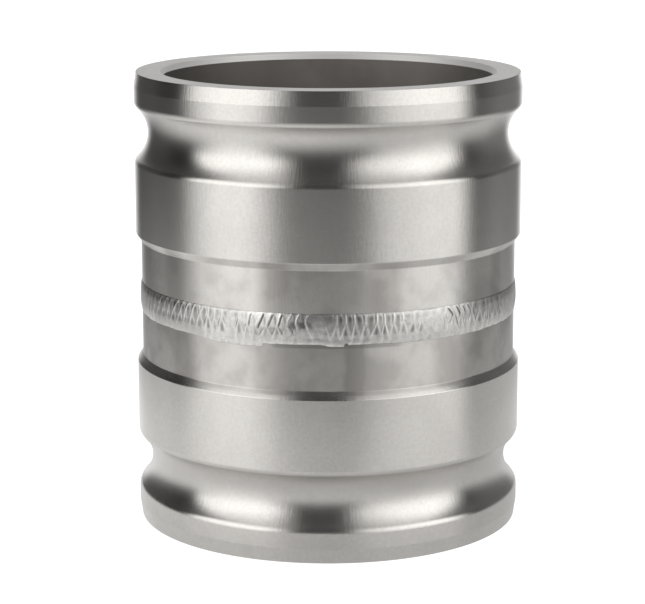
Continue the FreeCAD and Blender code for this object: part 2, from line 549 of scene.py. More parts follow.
@dataclass(frozen=True)
class TurnedSteel:
    """Satin stainless steel as it leaves the lathe, cloudy beside the weld, with painted shade under the
    weld's lip.

    Attributes:
        clean: Colour of the clean metal.
        stained: Colour of the cloudy marks.
        lip_shade_colour: Colour of the painted shade in a band on the tube under the weld's lip.
        roughness: Roughness of the turned surfaces.
        line_rough, weld_rough, cloud_rough: What the lathe lines, the metal near the weld and the clouds on
            it add to the roughness.
        anisotropy: How much the lathe lines smear a reflection across them.
        smear_turn: Direction of that smear, as a share of a full turn.
        line_pitch, line_drift: Spacing of the lathe lines, and how fast they change on their way round.
        streaks_per_radian: Number of upright streaks per radian.
        grain_size: Size of the satin grain.
        streak_drift: How fast a streak changes on its way up, per metre.
        cloud_size, broad_size: Size of the cloudy marks, and of the noise that varies the stains.
        cloud_reach, cloud_fade: Distance from the weld within which the metal is cloudy, and its edge.
        cloud_edge: Noise at which a cloud starts and is full.
        cloud_near, cloud_far: Strength of the clouds beside the weld, over that of the clouds elsewhere.
        below_weld_darkening: How much darker the tube is below the weld.
        stain_least, stain_broad: Least strength of a stain, and what a broad noise adds to it.
        streak_dark: How much the streaks darken the metal.
        grain_dark: Noise at which a speck of grain starts and is full, and how much it darkens the metal.
        upper_stains, lower_stains: Where the tube is darker above the weld and below it.
        lip_shade: Strength of the painted shade in that band.
        lip_shade_foot, lip_shade_top: Heights of the band's edges over the middle of the weld.
        lip_shade_left, lip_shade_right: Bearings of its ends.
        bump: Strength of the bump, and what a height of 1 in it stands for.
        heights: Heights of lines, streaks and grain in the bump.
    """

    clean: Colour = rgb(0.612, 0.594, 0.566)
    stained: Colour = rgb(0.385, 0.368, 0.350)
    lip_shade_colour: Colour = rgb(0.240, 0.228, 0.215)
    roughness: float = 0.26
    line_rough: float = 0.04
    weld_rough: float = 0.03
    cloud_rough: float = 0.10
    anisotropy: float = 0.92
    smear_turn: float = 0.25
    line_pitch: float = 0.25 * MM
    line_drift: float = 90.0
    streaks_per_radian: float = 90.0
    grain_size: float = 0.7 * MM
    streak_drift: float = 3.0
    cloud_size: float = 10.0 * MM
    broad_size: float = 32.5 * MM
    cloud_reach: float = 14.5 * MM
    cloud_fade: float = 1.0 * MM
    cloud_edge: Edge = (0.40, 0.64)
    cloud_near: float = 0.40
    cloud_far: float = 0.11
    below_weld_darkening: float = 0.28
    stain_least: float = 0.25
    stain_broad: float = 0.7
    streak_dark: float = 0.06
    grain_dark: Tone = (0.30, 0.70, 0.16)
    upper_stains: tuple[Stretch, ...] = (
        Stretch(-15.5, 7), Stretch(17, 7), Stretch(60, 5), Stretch(-52, 7),
        Stretch(120, 14), Stretch(-130, 16), Stretch(178, 12))
    lower_stains: tuple[Stretch, ...] = (
        Stretch(-15, 9), Stretch(7.5, 4), Stretch(36, 6), Stretch(-47, 7),
        Stretch(98, 13), Stretch(-112, 12), Stretch(160, 15))
    lip_shade: float = 0.60
    lip_shade_foot: Edge = (-4.55 * MM, -4.10 * MM)
    lip_shade_top: Edge = (0.0, -1.0 * MM)
    lip_shade_left: Edge = (-17, -15)
    lip_shade_right: Edge = (24, 18)
    bump: tuple[float, float] = (0.3, 0.02 * MM)
    heights: tuple[float, float, float] = (0.4, 1.9, 0.6)

    def stained_at(self, nodes: Nodes, bearing: Term, stretches: Sequence[Stretch]) -> Term:
        """Sum of soft humps, one per stretch, each 0 at its reach and 1 near its middle.

        Args:
            nodes: The tree to add to.
            bearing: Bearing of the place.
            stretches: Where the humps stand.

        Returns:
            The sum.
        """
        total = 0.0
        for stretch in stretches:
            off = nodes.math("ABSOLUTE", nodes.math("WRAP", bearing - stretch.bearing, 180.0, -180.0))
            total = total + nodes.step(off, stretch.reach, stretch.reach * 0.2)
        return total

    def cloudy(self, nodes: Nodes, place: Term, bearing: Term, rise: Term) -> tuple[Term, Term, Term]:
        """Clouds and stains beside the weld, and darker metal below it.

        Args:
            nodes: The tree to add to.
            place: The place on the part.
            bearing: Its bearing.
            rise: Its height over the middle of the weld.

        Returns:
            How stained and how darkened the metal is, how near the weld it lies, and the noise of the
            clouds.
        """
        clouds = nodes.noise(place, 1.0 / self.cloud_size, 3.0, 0.55)
        broad = nodes.noise(place, 1.0 / self.broad_size, 1.0, 0.5)
        distance = nodes.math("ABSOLUTE", rise)
        near_weld = nodes.step(distance, self.cloud_reach + self.cloud_fade, self.cloud_reach)
        above = nodes.step(rise, -self.cloud_fade, self.cloud_fade)
        stains = (self.stained_at(nodes, bearing, self.upper_stains) * above
                  + self.stained_at(nodes, bearing, self.lower_stains) * (1.0 - above))
        stained = nodes.step(clouds, *self.cloud_edge) * (near_weld * self.cloud_near + self.cloud_far)
        stained = stained + near_weld * (
            stains * (self.stain_least + broad * self.stain_broad) + (1.0 - above) * self.below_weld_darkening)
        return nodes.math("MINIMUM", stained, 1.0), near_weld, clouds

    def material(self) -> bpy.types.Material:
        """Build the material on object coordinates.

        Returns:
            The material.
        """
        material, nodes = new_material("turned_steel")
        place = nodes.place()
        x, y, z = nodes.parts(place)
        radius = nodes.radius(x, y)
        bearing = nodes.bearing(x, y)
        rise = z - JOINT.height
        lines = nodes.lathe_lines((x, y, z), self.line_pitch, self.line_drift)
        round_axis = nodes.vector(x / radius, y / radius, z * self.streak_drift)
        streaks = nodes.noise(round_axis, self.streaks_per_radian, 2.0, 0.6)
        grain = nodes.noise(place, 1.0 / self.grain_size, 3.0, 0.65)
        stained, near_weld, clouds = self.cloudy(nodes, place, bearing, rise)
        colour = nodes.blend(stained, self.clean, self.stained)
        specks = streaks * self.streak_dark + nodes.tone(grain, *self.grain_dark)
        colour = nodes.blend(specks, colour, self.stained)
        # Painted shade: a dark band on the tube just under the weld's lip, where its shadow falls.
        lip_shade_band = (nodes.step(rise, *self.lip_shade_foot) * nodes.step(rise, *self.lip_shade_top)
                     * nodes.step(bearing, *self.lip_shade_left) * nodes.step(bearing, *self.lip_shade_right))
        colour = nodes.blend(lip_shade_band * self.lip_shade, colour, self.lip_shade_colour)
        rough = (self.roughness + (lines - 0.5) * self.line_rough
                 + near_weld * (self.weld_rough + clouds * self.cloud_rough))
        height = nodes.weighted((lines, streaks, grain), self.heights)
        nodes.metal({"Base Color": colour, "Roughness": rough, "Anisotropic": self.anisotropy,
                     "Anisotropic Rotation": self.smear_turn}, self.bump, height)
        return material


@dataclass(frozen=True)
class FacedSteel:
    """Pale even steel of the sealing face and its bevel, with very fine facing rings.

    Attributes:
        colour: Colour of the metal.
        dull: Colour of its duller rings.
        bevel: Colour of the bevel inside it.
        bevel_edge: Radii where the face ends and where the bevel has its full colour.
        bevel_matt: How much less metallic the bevel is.
        roughness, ring_rough: Roughness of the face, and what its rings add.
        shares: How much rings and patches tell in the dullness.
        dull_edge: Sum of these at which the metal starts to be dull and is fully dull.
        ring_pitch, ring_drift: Spacing of the facing rings, and how fast they change on their way round.
        patch_size: Size of the duller patches.
        bump: Strength of the bump, and what a height of 1 in it stands for.
    """

    colour: Colour = rgb(0.400, 0.391, 0.378)
    dull: Colour = rgb(0.350, 0.342, 0.330)
    bevel: Colour = rgb(0.680, 0.668, 0.650)
    bevel_edge: Edge = (39.70 * MM, 39.65 * MM)
    bevel_matt: float = 0.65
    roughness: float = 0.50
    ring_rough: float = 0.08
    shares: tuple[float, float] = (0.6, 0.4)
    dull_edge: Edge = (0.35, 0.75)
    ring_pitch: float = 0.30 * MM
    ring_drift: float = 120.0
    patch_size: float = 6.25 * MM
    bump: tuple[float, float] = (0.2, 0.02 * MM)

    def material(self) -> bpy.types.Material:
        """Build the material on object coordinates.

        Returns:
            The material.
        """
        material, nodes = new_material("faced_steel")
        place = nodes.place()
        x, y, z = nodes.parts(place)
        rings = nodes.lathe_lines((x, y, z), self.ring_pitch, self.ring_drift)
        patches = nodes.noise(place, 1.0 / self.patch_size, 2.0, 0.5)
        dullness = nodes.step(nodes.weighted((rings, patches), self.shares), *self.dull_edge)
        colour = nodes.blend(dullness, self.colour, self.dull)
        bevelled = nodes.step(nodes.radius(x, y), *self.bevel_edge)
        nodes.metal({"Base Color": nodes.blend(bevelled, colour, self.bevel),
                     "Metallic": 1.0 - bevelled * self.bevel_matt,
                     "Roughness": self.roughness + (rings - 0.5) * self.ring_rough}, self.bump, rings)
        return material


@dataclass(frozen=True)
class DrawnBore:
    """Dull grey inside of the pipe, with faint marks and painted shade on both its sides.

    Attributes:
        grey: Colour of the wall.
        pale: Colour of its lighter patches.
        dark: Colour of the painted shade that both sides of the wall tend to.
        flank_shade: Tones of the painted shade on both sides, by x over the radius.
        roughness, mark_rough: Roughness of the wall, and what its marks add.
        shares: How much patches and marks tell in the paleness.
        pale_edge: Sum of these at which the wall starts to be pale and is fully pale.
        patch_size: Size of the patches.
        mark_width, mark_length: Size of the faint marks.
        bump: Strength of the bump, and what a height of 1 in it stands for.
    """

    grey: Colour = rgb(0.290, 0.271, 0.252)
    pale: Colour = rgb(0.350, 0.329, 0.308)
    dark: Colour = rgb(0.160, 0.149, 0.138)
    flank_shade: tuple[Tone, Tone] = ((0.0, -0.40, 0.8), (0.05, 0.35, 0.35))
    roughness: float = 0.58
    mark_rough: float = 0.1
    shares: tuple[float, float] = (0.8, 0.2)
    pale_edge: Edge = (0.35, 0.7)
    patch_size: float = 12.0 * MM
    mark_width: float = 2.0 * MM
    mark_length: float = 5.0 * MM
    bump: tuple[float, float] = (0.3, 0.03 * MM)

    def material(self) -> bpy.types.Material:
        """Build the material on object coordinates.

        Returns:
            The material.
        """
        material, nodes = new_material("drawn_bore")
        place = nodes.place()
        x, y, z = nodes.parts(place)
        where = nodes.vector(x / self.mark_width, y / self.mark_width, z / self.mark_length)
        marks = nodes.noise(where, 1.0, 3.0, 0.6)
        patches = nodes.noise(place, 1.0 / self.patch_size, 3.0, 0.55)
        paleness = nodes.step(nodes.weighted((patches, marks), self.shares), *self.pale_edge)
        colour = nodes.blend(paleness, self.grey, self.pale)
        # Painted shade: the wall is darker towards both sides, by x over the radius.
        side = x / nodes.radius(x, y)
        flank_shade = sum(nodes.tone(side, *flank) for flank in self.flank_shade)
        nodes.metal({"Base Color": nodes.blend(flank_shade, colour, self.dark),
                     "Roughness": self.roughness + (marks - 0.5) * self.mark_rough}, self.bump, marks)
        return material


@dataclass(frozen=True)
class WeldMetal:
    """Bright weld metal, greyer in the valleys and dark in the hollows, with fine streaks along the weave.

    Its colour also takes up the painted light and shade that the bead's values carry.

    Attributes:
        ridge: Colour of the ridges.
        valley: Colour of the valleys.
        hollow: Colour of the deepest hollows, and of the painted shade, shadows and dark reflections in the
            depth.
        roughness, grain_rough: Roughness of the metal, and what its grain adds.
        grain: Size of the fine grain.
        mottle: Size of the blurred patches.
        streaks: Number of fine streaks per ripple.
        shares: How much relief, grain, mottle and streaks tell in the colour.
        pale_edge: Sum of these at which the metal is a valley's colour and a ridge's.
        hollow_edge: Depth at which the dark colour starts and is full.
        hollow_least, hollow_streaks: What the depth is multiplied by, and what the streaks add to that.
        bump: Strength of the bump, and what a height of 1 in it stands for.
        heights: Heights of grain, streaks and mottle in the bump.
    """

    ridge: Colour = rgb(0.715, 0.701, 0.679)
    valley: Colour = rgb(0.475, 0.464, 0.448)
    hollow: Colour = rgb(0.150, 0.146, 0.140)
    roughness: float = 0.36
    grain_rough: float = 0.15
    grain: float = 0.5 * MM
    mottle: float = 1.25 * MM
    streaks: float = 4.0
    shares: tuple[float, float, float, float] = (0.8, 0.4, 1.4, 0.5)
    pale_edge: Edge = (-0.5, 0.7)
    hollow_edge: Edge = (0.05, 0.95)
    hollow_least: float = 0.7
    hollow_streaks: float = 0.6
    bump: tuple[float, float] = (0.35, 0.04 * MM)
    heights: tuple[float, float, float] = (0.5, 1.0, 4.0)

    def material(self) -> bpy.types.Material:
        """Build the material on the bead's own weave chart, relief and hollows.

        Returns:
            The material.
        """
        material, nodes = new_material("weld_metal")
        place = nodes.place()
        # The relief value carries a painted highlight on the petals, the depth value painted shade and
        # shadows.
        relief, depth = nodes.value("relief"), nodes.value("depth")
        left, right, _ = nodes.parts(nodes.term(nodes.add("ShaderNodeUVMap", {"uv_map": "weave"})))
        grain = nodes.noise(place, 1.0 / self.grain, 3.0, 0.6)
        fine = nodes.noise(nodes.vector((left + right) * self.streaks, left - right, 0.0), 1.0, 2.0, 0.6)
        mottle = nodes.noise(place, 1.0 / self.mottle, 2.0, 0.6)
        pale = nodes.weighted((relief, grain - 0.5, mottle - 0.5, fine - 0.5), self.shares)
        colour = nodes.blend(nodes.step(pale, *self.pale_edge), self.valley, self.ridge)
        hollow = nodes.step(depth * (self.hollow_least + fine * self.hollow_streaks), *self.hollow_edge)
        colour = nodes.blend(hollow, colour, self.hollow)
        height = nodes.weighted((grain, fine, mottle), self.heights)
        nodes.metal({"Base Color": colour, "Roughness": self.roughness + (grain - 0.5) * self.grain_rough},
                    self.bump, height)
        return material


def dress(piece: bpy.types.Object, materials: Sequence[bpy.types.Material], node: str) -> None:
    """Finish a piece, let it ride on the part and stand for its CAD node.

    Args:
        piece: The new piece.
        materials: Its materials, the main one first.
        node: Name of the CAD node that it replaces.
    """
    for material in materials:
        piece.data.materials.append(material)
    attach(piece, "root")
    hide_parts(node)
    log.info("%s: %d faces", piece.name, len(piece.data.polygons))


# The part.


@dataclass
class MaleEnd:
    """One turned male end, from its sealing face to its bevelled weld face.

    The outline is drawn with the sealing face at height 0 and the weld face above it.

    Attributes:
        name: Name of the piece.
        node: CAD node that it stands for.
        way_up: Where its sealing face points.
        face_height: Height of the sealing face on the part.
        land_radius, face_radius: Outside of lip and body, and of the sealing face.
        mouth_width, mouth_depth: Size of the bevel at the mouth of the bore.
        nose_length: Length of the nose beyond the lip.
        groove_distance, groove_radius, groove_depth: Height of the groove's centre, its radius and depth.
        lip_edge_radius, body_edge_radius: Rounding of the groove's two edges.
        body_end, body_corner_radius: Height where the body ends, and the rounding of its corner.
        shoulder_length, shoulder_root_radius: Height of the shoulder, and the rounding at its root.
        crisp: Rounding of its sharp corners.
        soft: Rounding of the corner between nose and lip.
        columns: Number of points round the axis.
    """

    name: str
    node: str
    way_up: WayUp
    face_height: float
    land_radius: float = 45.7 * MM
    face_radius: float = 45.2 * MM
    mouth_width: float = 0.65 * MM
    mouth_depth: float = 1.4 * MM
    nose_length: float = 3.4 * MM
    groove_distance: float = 14.2 * MM
    groove_radius: float = 8.3 * MM
    groove_depth: float = 3.15 * MM
    lip_edge_radius: float = 1.9 * MM
    body_edge_radius: float = 1.8 * MM
    body_end: float = 37.95 * MM
    body_corner_radius: float = 0.4 * MM
    shoulder_length: float = 1.7 * MM
    shoulder_root_radius: float = 0.5 * MM
    crisp: float = 0.12 * MM
    soft: float = 0.6 * MM
    columns: int = 512

    def groove(self) -> tuple[np.ndarray, float, float]:
        """Cam groove with its two rounded edges.

        The groove is an arc whose centre lies outside the land. Each edge is an arc that touches the land
        and the groove, so its centre is the sum of the two radii away from the groove's centre.

        Returns:
            Rows as arc gives them, and the heights where the groove leaves the lip and meets the body.
        """
        centre = np.array([self.land_radius - self.groove_depth + self.groove_radius, self.groove_distance])
        lip = self.land_radius - self.lip_edge_radius
        body = self.land_radius - self.body_edge_radius
        rise = math.sqrt((self.groove_radius + self.lip_edge_radius) ** 2 - (centre[0] - lip) ** 2)
        fall = math.sqrt((self.groove_radius + self.body_edge_radius) ** 2 - (centre[0] - body) ** 2)
        lip_turn = math.atan2(rise, centre[0] - lip)
        body_turn = math.atan2(fall, centre[0] - body)
        start, end = self.groove_distance - rise, self.groove_distance + fall
        hollow = arc(centre, self.groove_radius, math.pi + lip_turn, math.pi - body_turn, True, GROOVE_STEP)
        rows = np.concatenate([
            arc((lip, start), self.lip_edge_radius, 0, lip_turn),
            hollow[1:-1],
            arc((body, end), self.body_edge_radius, -body_turn, 0),
        ])
        return rows, start, end

    def outline(self) -> np.ndarray:
        """Closed outline with the metal on its left.

        Returns:
            Rows as arc gives them: bore, mouth, face, nose, groove, body, shoulder, tube and bevel.
        """
        length = abs(self.face_height - JOINT.height)
        top = length - JOINT.half_gap
        groove, lip_end, body_start = self.groove()
        mouth = (JOINT.bore_radius, self.mouth_depth)
        inner = (JOINT.bore_radius + self.mouth_width, 0)
        outer = (self.face_radius, 0)
        lip = (self.land_radius, self.nose_length)
        body = (self.land_radius, self.body_end)
        root = (JOINT.tube_radius, self.body_end + self.shoulder_length)
        weld_toe = (JOINT.tube_radius, length - JOINT.half_weld)
        bevel = (JOINT.root_radius, top)
        bore_top = (JOINT.bore_radius, top)
        return np.concatenate([
            corner(bevel, bore_top, mouth, self.crisp),
            corner(bore_top, mouth, inner, self.crisp),
            corner(mouth, inner, outer, self.crisp),
            corner(inner, outer, lip, self.crisp),
            corner(outer, lip, (self.land_radius, lip_end), self.soft),
            groove,
            corner((self.land_radius, body_start), body, root, self.body_corner_radius),
            corner(body, root, weld_toe, self.shoulder_root_radius),
            corner(root, weld_toe, bevel, self.crisp),
            corner(weld_toe, bevel, bore_top, self.crisp),
        ])

    def finishes(self, rows: np.ndarray) -> np.ndarray:
        """Which finish lies between each row of the outline and the next: turned 0, faced 1, bore 2.

        Args:
            rows: The outline, with the sealing face at height 0, either way up.

        Returns:
            One number per row.
        """
        radius, height = rows[:, 0], np.abs(rows[:, 1])
        on_face = (radius < self.face_radius) & (height < self.mouth_depth + 0.5 * self.crisp)
        on_bore = radius < JOINT.bore_radius + 0.1 * self.crisp
        faced = on_face & np.roll(on_face, -1)
        bored = on_bore & np.roll(on_bore, -1)
        return np.where(bored, 2, np.where(faced, 1, 0))

    def build(self, finishes: Sequence[bpy.types.Material]) -> bpy.types.Object:
        """Turn the outline, put it in place and dress it.

        Args:
            finishes: The turned finish, the faced one and the bore's.

        Returns:
            The finished piece.
        """
        rows = self.outline()
        if self.way_up is WayUp.FACE_UP:
            rows = rows[::-1] * np.array([1, -1, 1, -1])
        grid = revolve(rows + np.array([0, self.face_height, 0, 0]), self.columns)
        grid.finish = self.finishes(rows)
        piece = grid.to_object(self.name)
        dress(piece, finishes, self.node)
        return piece


@dataclass
class Lattice:
    """The two crossing families of ridges, on the grid of the bead.

    Attributes:
        turn: Angles about the axis.
        share: Places across the bead.
        number: Ripple number at each angle.
        left: Number in the left family, whole on a ridge.
        right: Number in the right family.
        upper: How far each point lies above the knots, between 0 and 1.
        skirt: How far each point lies above the smooth skirt, between 0 and 1.
        left_strength, right_strength: Strengths of the ridges of each family.
    """

    turn: np.ndarray
    share: np.ndarray
    number: np.ndarray
    left: np.ndarray
    right: np.ndarray
    upper: np.ndarray
    skirt: np.ndarray
    left_strength: np.ndarray
    right_strength: np.ndarray


@dataclass
class WeldBead:
    """Hand-run weld: a V between the bevels under a crowned cap of woven ripples.

    Two families of ridges cross in a lattice. Both pass a knot on every ripple, lean apart below it until
    neighbours cross, and part a little above it. How they look changes round the part, as the hand that made
    them moved. A share is a place across the bead, from -1 at the lower toe to 1 at the upper one.

    Attributes:
        overlap: How far the cap reaches past the V at least.
        cap_height: Height of the cap's crown over its toes.
        crown_power: Power of the share that the crown falls with.
        ridge_height: Height of the ridges of the weave.
        scale_height: Rise of the slow steps from ripple to ripple.
        hollow_depth: Depth of the hollows between the ridges.
        toe_height: How far the toes stand proud of the tube.
        toe_sink: How far the skin dips into the tube under its toes.
        lip_height: How much prouder the lower toe stands where it ends in a lip.
        lip_rise, lip_fall: Edge of the lip's climb, and tone of its fall at the toe.
        ripples: Number of ripples round the part.
        columns_per_ripple, rows: Number of points along a ripple, and across the cap.
        crowding: How much the rows crowd together towards the toes.
        fade_power: Power of the share that the relief fades with at the toes.
        relief_shares: How much ridges and scales tell in the relief that the material reads.
        ripple_steps, ripple_step: Ripples per small step of the lower toe, and the size of the step.
        scallop: Depth of the upper toe's scallops.
        sliver_hang, sag_hang: How far the lower toe hangs down at the sliver and at the sag.
        steep, gentle: Width of a ridge's two sides, as shares of a ripple.
        arm_fade: How much an upper arm fades in sweeps, petals and slashes.
        plain_ridge, bold_ridge: Height of the ridges, and what they gain where they are bold.
        slashed_ridge: What they lose in slashes.
        scale_top, scale_bow: Where a scale is highest, and how far its line is bowed, in ripples.
        scale_least, scale_gain: Height of the scales in smears, and what they gain elsewhere.
        crevice: Half the width of a dark stroke.
        stroke_off: How far a stroke lies before its ridge, in widths of the steep side.
        stroke_least, stroke_gain, stroke_swell: Width of a stroke at its ends, what it gains in its middle
            and what it gains where it runs on, in crevices.
        stroke_middle, stroke_half: Ranges of a stroke's middle and half length across the bead.
        stroke_ends: How far along its half length a stroke has ended, and is full.
        weakest: Strength of the weakest ridge.
        shallowest: Depth of the shallowest hollow.
        lens: How far from a cell's upright middle a hollow ends, and is full.
        hollow_power: Power of the hollows' hump.
        hollow_foot, hollow_top: Where the hollows start at the bottom and end at the top.
        lower_hollow, upper_hollow: Depth of the hollows below and between the knots.
        knot, petal_drop: Share of the knots, and how much lower they lie in petals.
        foot: Share where the ridges end.
        skirt_edge, knot_edge: Edges of the skirt and of the upper half, from the foot and the knot.
        open_spread: How far the upper arms lean apart everywhere.
        petals: Where the weave makes round petals.
        crescents: Where one family of ridges is left, bowed like crescents round cups with painted dark
            reflection.
        sweeps: Where the upper arms of one family sweep over the top.
        slashes: Where dark strokes slash the upper half.
        bold: Where bright ridges stand out; elsewhere dark strokes do.
        smears, smear: Where the weave is washed out, and how much of it.
        slash_foot, slash_top: Where the strokes of slashes start at the bottom and end at the top.
        petal_foot, petal_top: The same for the strokes under petals.
        crescent_fade: Where the second family fades in crescents, and by how much.
        cup_depth, cup_share: Depth of the cups, dent and painted dark reflection, and their place across the
            bead.
        cup_width, cup_height: How far from its middle a cup ends, and is full, each way.
        plain_stroke, bold_stroke: Depth of the strokes, and what they lose where ridges are bold.
        upper_stroke: Share of that depth that the strokes beside upper arms keep.
        slash_stroke, petal_stroke: What slashes and petals add to those.
        petal_run: How far the lower strokes run on under petals.
        plain_cell, bold_cell: Depth of the hollows, and what they gain where ridges are bold.
        slash_cell, petal_cell: What they lose in slashes and in petals.
        petal_light, sweep_dark: Painted highlight on the petals, and darker colour on the skirt under
            sweeps.
        toe_shade_line, line_level: Line of painted shade along the upper toe, and the level that it wavers
            about.
        top_shade: The faint painted shade below it.
        notch_share: Where the painted shadow in the notch at the end of the sliver starts, and is full.
        lip: Where the lower toe ends in a lip.
        sliver: Where the lower toe hangs down a little and ends in a notch.
        sag: Where the lower toe hangs down more and ends in a step.
        drift, shiver: Slow and quick waver of the ripples.
        knot_waver, foot_waver: Waver of the share of the knots, and of that of the foot.
        slow_skew, quick_skew: Slow and quick waver of the lean that both families share.
        lower_waver, upper_waver, ragged: Waver of both toes, and a finer one of the lower toe.
        crown_waver, edge_waver: Waver of the crown, and of the dark line along the upper toe.
        left_seeds, right_seeds: Seeds of each family's strengths and strokes.
        hollow_seed: Seed of the hollows' depths.
    """

    overlap: float = 0.04 * MM
    cap_height: float = 0.33 * MM
    crown_power: float = 2.6
    ridge_height: float = 0.085 * MM
    scale_height: float = 0.035 * MM
    hollow_depth: float = 0.030 * MM
    toe_height: float = 0.04 * MM
    toe_sink: float = 0.1 * MM
    lip_height: float = 0.16 * MM
    lip_rise: Edge = (-0.5, -0.95)
    lip_fall: Tone = (-0.95, -1, 0.7)
    ripples: int = 127
    columns_per_ripple: int = 22
    rows: int = 27
    crowding: float = 1.42
    fade_power: int = 8
    relief_shares: tuple[float, float] = (0.75, 0.25)
    ripple_steps: int = 3
    ripple_step: float = 0.12 * MM
    scallop: float = 0.07 * MM
    sliver_hang: float = 0.42 * MM
    sag_hang: float = 0.75 * MM
    steep: float = 0.12
    gentle: float = 0.24
    arm_fade: float = 0.85
    plain_ridge: float = 0.55
    bold_ridge: float = 0.45
    slashed_ridge: float = 0.5
    scale_top: float = 0.75
    scale_bow: float = 0.30
    scale_least: float = 0.3
    scale_gain: float = 0.7
    crevice: float = 0.15
    stroke_off: float = 1.5
    stroke_least: float = 0.35
    stroke_gain: float = 0.65
    stroke_swell: float = 0.3
    stroke_middle: Edge = (-0.25, 0.50)
    stroke_half: Edge = (0.35, 0.85)
    stroke_ends: Edge = (1, 0.2)
    weakest: float = 0.4
    shallowest: float = 0.45
    lens: Edge = (0.85, 0.10)
    hollow_power: float = 0.55
    hollow_foot: Edge = (-0.52, -0.26)
    hollow_top: Edge = (0.99, 0.70)
    lower_hollow: float = 0.9
    upper_hollow: float = 0.55
    knot: float = 0.40
    petal_drop: float = 0.33
    foot: float = -0.44
    skirt_edge: Edge = (-0.22, 0.06)
    knot_edge: Edge = (-0.10, 0.10)
    open_spread: float = 0.06
    petals: Habit = Habit((Stretch(-18, 6.8), Stretch(128, 9)), spread=0.60)
    crescents: Habit = Habit((Stretch(-8, 4.2), Stretch(-160, 6)), spread=0.45, bow=1.0)
    sweeps: Habit = Habit((Stretch(-52, 11.5), Stretch(95, 12), Stretch(-130, 12)), spread=0.52, bow=0.6)
    slashes: Habit = Habit((Stretch(41, 6.5), Stretch(-88, 8), Stretch(160, 9)), spread=0.55)
    bold: Habit = Habit((Stretch(-53, 13), Stretch(12, 15), Stretch(100, 20), Stretch(-135, 25)))
    smears: Habit = Habit((
        Stretch(-2.4, 1.9), Stretch(31.5, 3.4), Stretch(71, 8), Stretch(-76, 6),
        Stretch(-29, 1.3), Stretch(142, 5), Stretch(-110, 6)))
    smear: float = 0.8
    slash_foot: Edge = (0.05, 0.25)
    slash_top: Edge = (0.97, 0.80)
    petal_foot: Edge = (-0.52, -0.36)
    petal_top: Edge = (0.12, 0)
    crescent_fade: Tone = (0.14, -0.12, 0.8)
    cup_depth: float = 0.75
    cup_share: float = 0.26
    cup_width: Edge = (0.46, 0.20)
    cup_height: Edge = (0.34, 0.10)
    plain_stroke: float = 0.9
    bold_stroke: float = 0.6
    upper_stroke: float = 0.5
    slash_stroke: float = 1.6
    petal_stroke: float = 1.2
    petal_run: float = 0.8
    plain_cell: float = 0.85
    bold_cell: float = 0.10
    slash_cell: float = 0.7
    petal_cell: float = 0.9
    petal_light: Tone = (-0.1, 0.2, 0.4)
    sweep_dark: Tone = (0.1, -0.3, 1.2)
    toe_shade_line: Tone = (0.88, 0.99, 0.38)
    line_level: float = 0.6
    top_shade: Tone = (0.30, 0.75, 0.26)
    notch_share: Edge = (-0.80, -0.92)
    lip: Stretch = Stretch(3, 19)
    sliver: Stretch = Stretch(1.0, 3.8)
    sag: Stretch = Stretch(-32, 13)
    drift: Waver = Waver(0.20, 9, 9, 40, seed=7)
    shiver: Waver = Waver(0.07, 9, 40, 90, seed=15)
    knot_waver: Waver = Waver(0.08, 7, 5, 60, seed=16)
    foot_waver: Waver = Waver(0.07, 9, 20, 90, seed=17)
    slow_skew: Waver = Waver(0.16, 5, 3, 9, seed=8)
    quick_skew: Waver = Waver(0.12, 7, 20, 60, seed=18)
    lower_waver: Waver = Waver(0.05 * MM, 9, 2, 30, seed=11)
    upper_waver: Waver = Waver(0.03 * MM, 9, 2, 40, seed=12)
    ragged: Waver = Waver(0.05 * MM, 12, 50, 160, seed=23)
    crown_waver: Waver = Waver(0.12, 6, 2, 12, seed=13)
    edge_waver: Waver = Waver(0.4, 9, 10, 60, seed=20)
    left_seeds: tuple[int, int] = (9, 21)
    right_seeds: tuple[int, int] = (10, 22)
    hollow_seed: int = 19

    def ridge(self, family: np.ndarray) -> np.ndarray:
        """Ridge round each whole number: a smooth climb on one side and a slower fall on the other."""
        off = family - np.round(family)
        return smooth(off, -self.steep, 0) * smooth(off, self.gentle, 0)

    def strokes(self, family: np.ndarray, share: np.ndarray, full: np.ndarray, seed: int) -> np.ndarray:
        """Dark stroke at the foot of each ridge's steep side, long or short, and wider in its middle.

        Each ridge draws the middle and half the length of its stroke once.

        Args:
            family: Numbers of the family.
            share: Places across the bead.
            full: Where the strokes run on beyond the length they drew.
            seed: Seed of the draws.

        Returns:
            Depths from 0 to 1.
        """
        off = family - np.round(family)
        number = np.round(family).astype(int) % self.ripples
        low, high = np.array([self.stroke_middle, self.stroke_half]).T[..., None]
        middle, half = np.random.default_rng(seed).uniform(low, high, (2, self.ripples))
        ends = smooth(np.abs(share - middle[number]) / half[number], *self.stroke_ends)
        along = np.maximum(ends, full)
        swell = self.stroke_least + self.stroke_gain * along + self.stroke_swell * full
        off_stroke = np.abs(off + self.stroke_off * self.steep)
        return smooth(off_stroke / (self.crevice * swell), 1, 0) * along

    def uneven(self, family: np.ndarray, upper: np.ndarray, seed: int) -> np.ndarray:
        """Strength of each ridge of a family, drawn once for its lower arm and once for its upper arm.

        Args:
            family: Numbers of the family.
            upper: How far each point belongs to the upper arm.
            seed: Seed of the draws.

        Returns:
            Strengths between the weakest and 1.
        """
        strength = np.random.default_rng(seed).uniform(self.weakest, 1.0, (2, self.ripples))
        number = np.round(family).astype(int) % self.ripples
        return strength[0][number] * (1 - upper) + strength[1][number] * upper

